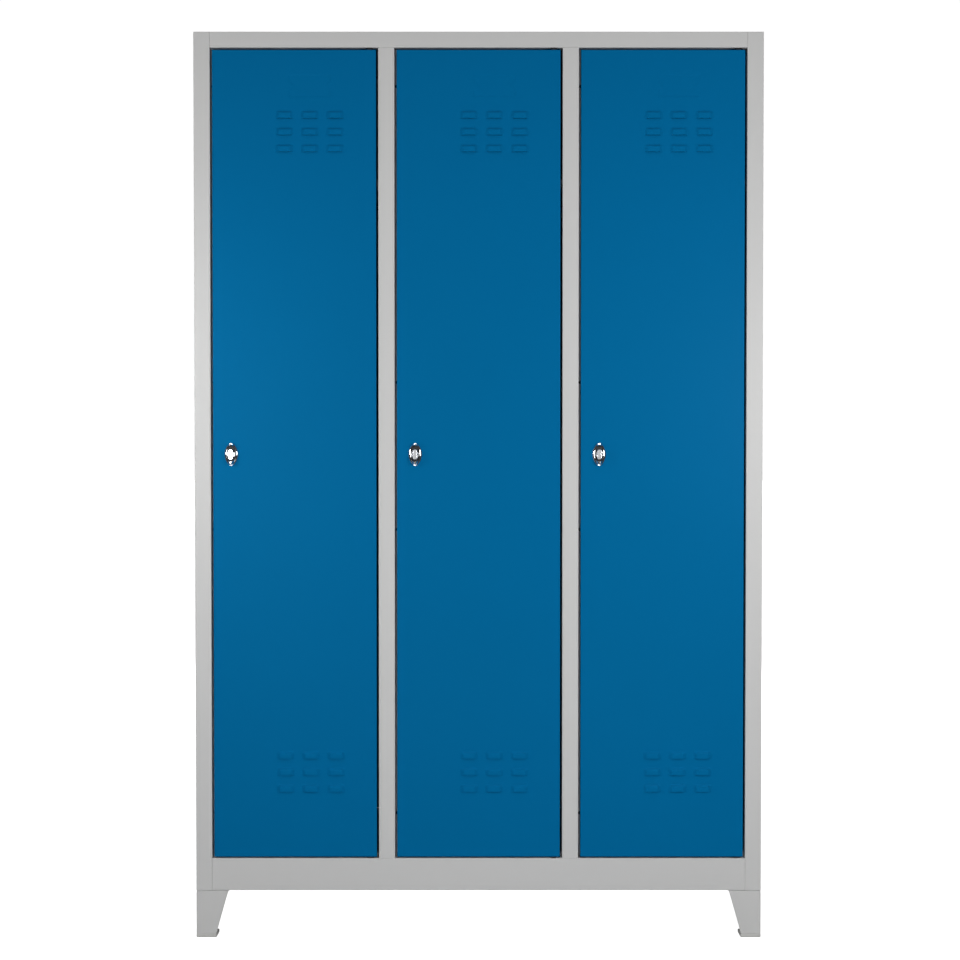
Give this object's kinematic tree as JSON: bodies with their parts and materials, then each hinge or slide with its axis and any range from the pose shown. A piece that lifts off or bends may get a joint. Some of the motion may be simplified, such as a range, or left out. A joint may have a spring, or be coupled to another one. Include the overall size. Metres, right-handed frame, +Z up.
{
  "type": "locker cabinet",
  "caption": "Sheet-steel clothes locker with side-by-side full-height doors, louvred vents, turning padlock latches, hat shelves and clothes rails, on tapered legs.",
  "frame": {"origin": "on the floor, in the middle of the whole outline, latches included", "axes": "+Z up, -Y out of the doors, +X to the right seen from the front"},
  "size_m": [1.19, 0.5156, 1.9],
  "materials": {
    "body_grey": "light grey powder coat, semi-gloss, fine orange peel",
    "door_blue": "mid blue powder coat, semi-gloss, fine orange peel",
    "chrome": "bright chrome on die-cast zinc",
    "zinc_plate": "zinc plated, satin",
    "black_nylon": "black moulded nylon, matt",
    "grey_plastic": "moulded polyethylene, matt",
    "black_plastic": "moulded plastic, fine grain"
  },
  "bodies": {
    "carcass": {"left_side_panel": "body_grey", "right_side_panel": "body_grey", "back_panel": "body_grey", "roof_panel": "body_grey", "floor_panel": "body_grey", "left_middle_mullion": "body_grey", "middle_right_mullion": "body_grey", "left_middle_partition": "body_grey", "middle_right_partition": "body_grey", "left_shelf": "body_grey", "middle_shelf": "body_grey", "right_shelf": "body_grey", "left_clothes_rail": "zinc_plate", "middle_clothes_rail": "zinc_plate", "right_clothes_rail": "zinc_plate", "front_left_leg": "body_grey", "front_left_foot": "grey_plastic", "front_right_leg": "body_grey", "front_right_foot": "grey_plastic", "rear_left_leg": "body_grey", "rear_left_foot": "grey_plastic", "rear_right_leg": "body_grey", "rear_right_foot": "grey_plastic", "left_upper_bush": "black_nylon", "left_lower_bush": "black_nylon", "middle_upper_bush": "black_nylon", "middle_lower_bush": "black_nylon", "right_upper_bush": "black_nylon", "right_lower_bush": "black_nylon"},
    "left_door": {"left_door_skin": "door_blue", "left_door_stiffener": "door_blue", "left_upper_pin": "zinc_plate", "left_lower_pin": "zinc_plate", "left_latch_base": "chrome", "left_latch_nut": "zinc_plate"},
    "left_latch": {"left_latch_knob": "chrome", "left_latch_cam": "zinc_plate"},
    "left_hook_1": {"left_hook_1": "black_plastic"},
    "left_hook_2": {"left_hook_2": "black_plastic"},
    "middle_door": {"middle_door_skin": "door_blue", "middle_door_stiffener": "door_blue", "middle_upper_pin": "zinc_plate", "middle_lower_pin": "zinc_plate", "middle_latch_base": "chrome", "middle_latch_nut": "zinc_plate"},
    "middle_latch": {"middle_latch_knob": "chrome", "middle_latch_cam": "zinc_plate"},
    "middle_hook_1": {"middle_hook_1": "black_plastic"},
    "middle_hook_2": {"middle_hook_2": "black_plastic"},
    "right_door": {"right_door_skin": "door_blue", "right_door_stiffener": "door_blue", "right_upper_pin": "zinc_plate", "right_lower_pin": "zinc_plate", "right_latch_base": "chrome", "right_latch_nut": "zinc_plate"},
    "right_latch": {"right_latch_knob": "chrome", "right_latch_cam": "zinc_plate"},
    "right_hook_1": {"right_hook_1": "black_plastic"},
    "right_hook_2": {"right_hook_2": "black_plastic"}
  },
  "joints": [
    {"name": "left_door_hinge", "type": "hinge", "parent": "carcass", "child": "left_door", "pos_m": [-0.22817, -0.23425, 1], "axis": [0, 0, 1], "range_deg": [0, 110]},
    {"name": "left_latch_turn", "type": "hinge", "parent": "left_door", "child": "left_latch", "pos_m": [-0.518, -0.24225, 1.0185], "axis": [0, 1, 0], "range_deg": [0, 90]},
    {"name": "left_hook_1_slide", "type": "slide", "parent": "carcass", "child": "left_hook_1", "axis": [1, 0, 0], "range_m": [-0.085, 0.085]},
    {"name": "left_hook_2_slide", "type": "slide", "parent": "carcass", "child": "left_hook_2", "axis": [1, 0, 0], "range_m": [-0.085, 0.085]},
    {"name": "middle_door_hinge", "type": "hinge", "parent": "carcass", "child": "middle_door", "pos_m": [0.15717, -0.23425, 1], "axis": [0, 0, 1], "range_deg": [0, 110]},
    {"name": "middle_latch_turn", "type": "hinge", "parent": "middle_door", "child": "middle_latch", "pos_m": [-0.13267, -0.24225, 1.0185], "axis": [0, 1, 0], "range_deg": [0, 90]},
    {"name": "middle_hook_1_slide", "type": "slide", "parent": "carcass", "child": "middle_hook_1", "axis": [1, 0, 0], "range_m": [-0.085, 0.085]},
    {"name": "middle_hook_2_slide", "type": "slide", "parent": "carcass", "child": "middle_hook_2", "axis": [1, 0, 0], "range_m": [-0.085, 0.085]},
    {"name": "right_door_hinge", "type": "hinge", "parent": "carcass", "child": "right_door", "pos_m": [0.5425, -0.23425, 1], "axis": [0, 0, 1], "range_deg": [0, 110]},
    {"name": "right_latch_turn", "type": "hinge", "parent": "right_door", "child": "right_latch", "pos_m": [0.25267, -0.24225, 1.0185], "axis": [0, 1, 0], "range_deg": [0, 90]},
    {"name": "right_hook_1_slide", "type": "slide", "parent": "carcass", "child": "right_hook_1", "axis": [1, 0, 0], "range_m": [-0.085, 0.085]},
    {"name": "right_hook_2_slide", "type": "slide", "parent": "carcass", "child": "right_hook_2", "axis": [1, 0, 0], "range_m": [-0.085, 0.085]}
  ]
}
